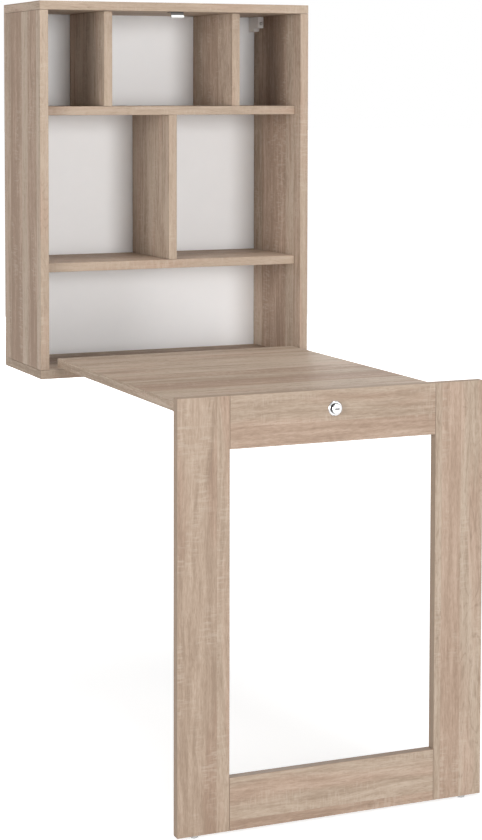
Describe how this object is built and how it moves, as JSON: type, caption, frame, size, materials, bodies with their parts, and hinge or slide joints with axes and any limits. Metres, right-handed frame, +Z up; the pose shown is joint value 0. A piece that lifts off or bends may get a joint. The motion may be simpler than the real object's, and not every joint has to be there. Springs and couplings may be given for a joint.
{
  "type": "folding desk",
  "caption": "Wall-hung folding desk: an open oak-finish shelf cabinet with a fold-down leaf carried by a hinged leg frame that closes flat over the cabinet's front.",
  "frame": {"origin": "centre of the back panel's rear face, on the wall", "axes": "+X to the right as seen from the front, +Y into the wall, +Z up; the leaf reaches out along -Y"},
  "size_m": [0.6, 0.9709, 1.4714],
  "materials": {
    "oak_upright": "pale grey-brown oak print on melamine, matt, grain upright",
    "oak_level": "pale grey-brown oak print on melamine, matt, grain along the width",
    "back_board": "thin fibreboard, white lacquered, matt",
    "tenon_birch": "bare birch, hidden in the joints",
    "zinc_steel": "bright zinc plate",
    "lock_chrome": "polished chrome plate",
    "strike_steel": "dark brown lacquered sheet steel",
    "bumper_plastic": "white soft plastic, matt",
    "hanger_plastic": "light grey moulded plastic, matt",
    "glide_plastic": "light grey moulded plastic, matt"
  },
  "bodies": {
    "cabinet": {"left_side_panel": "oak_upright", "right_side_panel": "oak_upright", "upper_left_divider": "oak_upright", "upper_right_divider": "oak_upright", "middle_divider": "oak_upright", "top_panel": "oak_level", "bottom_panel": "oak_level", "upper_shelf": "oak_level", "lower_shelf": "oak_level", "back_panel": "back_board", "top_left_front_screw": "zinc_steel", "top_left_rear_screw": "zinc_steel", "top_right_front_screw": "zinc_steel", "top_right_rear_screw": "zinc_steel", "bottom_left_front_screw": "zinc_steel", "bottom_left_rear_screw": "zinc_steel", "bottom_right_front_screw": "zinc_steel", "bottom_right_rear_screw": "zinc_steel", "desk_hinge_left_base_plate": "zinc_steel", "desk_hinge_left_pin": "zinc_steel", "desk_hinge_middle_base_plate": "zinc_steel", "desk_hinge_middle_pin": "zinc_steel", "desk_hinge_right_base_plate": "zinc_steel", "desk_hinge_right_pin": "zinc_steel", "left_hanger_housing": "hanger_plastic", "left_hanger_screw": "zinc_steel", "left_strike_screw": "zinc_steel", "right_hanger_housing": "hanger_plastic", "right_hanger_screw": "zinc_steel", "right_strike_screw": "zinc_steel", "lock_strike": "strike_steel", "strike_bumper": "bumper_plastic"},
    "desk_leaf": {"desk_leaf": "oak_level", "desk_hinge_left_leaf_plate": "zinc_steel", "desk_hinge_middle_leaf_plate": "zinc_steel", "desk_hinge_right_leaf_plate": "zinc_steel", "leg_hinge_left_leaf_plate": "zinc_steel", "leg_hinge_left_pin": "zinc_steel", "leg_hinge_right_leaf_plate": "zinc_steel", "leg_hinge_right_pin": "zinc_steel"},
    "leg_frame": {"left_stile": "oak_upright", "right_stile": "oak_upright", "top_rail": "oak_level", "bottom_rail": "oak_level", "top_left_tenon": "tenon_birch", "top_right_tenon": "tenon_birch", "bottom_left_tenon": "tenon_birch", "bottom_right_tenon": "tenon_birch", "leg_hinge_left_frame_plate": "zinc_steel", "leg_hinge_right_frame_plate": "zinc_steel", "lock_housing": "lock_chrome", "left_foot_glide": "glide_plastic", "right_foot_glide": "glide_plastic"},
    "lock_cylinder": {"lock_plug": "lock_chrome", "lock_cam": "zinc_steel", "cam_screw": "zinc_steel"},
    "left_hook": {"left_hanger_hook": "zinc_steel"},
    "right_hook": {"right_hanger_hook": "zinc_steel"}
  },
  "joints": [
    {"name": "desk_fold", "type": "hinge", "parent": "cabinet", "child": "desk_leaf", "pos_m": [0, -0.2377, -0.3622], "axis": [-1, 0, 0], "range_deg": [0, 90]},
    {"name": "leg_fold", "type": "hinge", "parent": "desk_leaf", "child": "leg_frame", "pos_m": [0, -0.9421, -0.3622], "axis": [-1, 0, 0], "range_deg": [-90, 0]},
    {"name": "lock_turn", "type": "hinge", "parent": "leg_frame", "child": "lock_cylinder", "pos_m": [0, -0.9629, -0.3554], "axis": [0, -1, 0], "range_deg": [0, 90]},
    {"name": "left_hook_slide", "type": "slide", "parent": "cabinet", "child": "left_hook", "axis": [0, 0, 1], "range_m": [-0.004, 0.004]},
    {"name": "right_hook_slide", "type": "slide", "parent": "cabinet", "child": "right_hook", "axis": [0, 0, 1], "range_m": [-0.004, 0.004]}
  ],
  "couplings": [
    {"joint": "leg_fold", "follows": "desk_fold", "ratio": -1}
  ]
}
